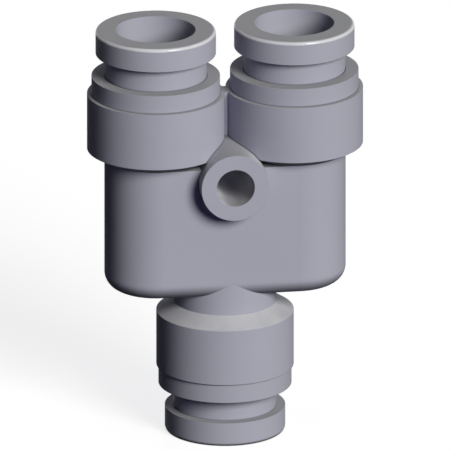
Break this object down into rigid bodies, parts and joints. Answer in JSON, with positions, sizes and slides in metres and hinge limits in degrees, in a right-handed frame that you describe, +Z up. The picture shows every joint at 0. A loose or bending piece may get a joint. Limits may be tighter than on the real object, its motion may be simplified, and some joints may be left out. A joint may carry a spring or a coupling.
{
  "type": "tubing y connector",
  "caption": "Push-in Y connector for plastic tube: a flat moulded body with two ports above, one below, press-to-release buttons and a mounting boss.",
  "frame": {"origin": "centre of the bottom port's face, on which the fitting stands", "axes": "+Z up from the single port to the two side-by-side ports, +X towards the right upper port, -Y towards the viewer, along the mounting hole"},
  "size_m": [0.0424, 0.0216, 0.0648],
  "materials": {
    "moulded_body": "fine texture",
    "button_plastic": "satin",
    "collet_plastic": "satin",
    "guide_plastic": "satin",
    "spring_steel": "rolled",
    "seal_rubber": "moulded"
  },
  "bodies": {
    "fitting": {"body": "moulded_body", "left_collet": "collet_plastic", "left_chuck": "spring_steel", "left_guide_ring": "guide_plastic", "left_lip_seal": "seal_rubber", "right_collet": "collet_plastic", "right_chuck": "spring_steel", "right_guide_ring": "guide_plastic", "right_lip_seal": "seal_rubber", "bottom_collet": "collet_plastic", "bottom_chuck": "spring_steel", "bottom_guide_ring": "guide_plastic", "bottom_lip_seal": "seal_rubber"},
    "left_button": {"left_release_button": "button_plastic"},
    "right_button": {"right_release_button": "button_plastic"},
    "bottom_button": {"bottom_release_button": "button_plastic"}
  },
  "joints": [
    {"name": "left_button_press", "type": "slide", "parent": "fitting", "child": "left_button", "axis": [0, 0, -1], "range_m": [0, 0.00355], "stiffness_N_per_m": 1500, "springref_m": -0.0007, "deforming": ["left_chuck"]},
    {"name": "right_button_press", "type": "slide", "parent": "fitting", "child": "right_button", "axis": [0, 0, -1], "range_m": [0, 0.00355], "stiffness_N_per_m": 1500, "springref_m": -0.0007, "deforming": ["right_chuck"]},
    {"name": "bottom_button_press", "type": "slide", "parent": "fitting", "child": "bottom_button", "axis": [0, 0, 1], "range_m": [0, 0.00355], "stiffness_N_per_m": 1500, "springref_m": -0.0007, "deforming": ["bottom_chuck"]}
  ]
}
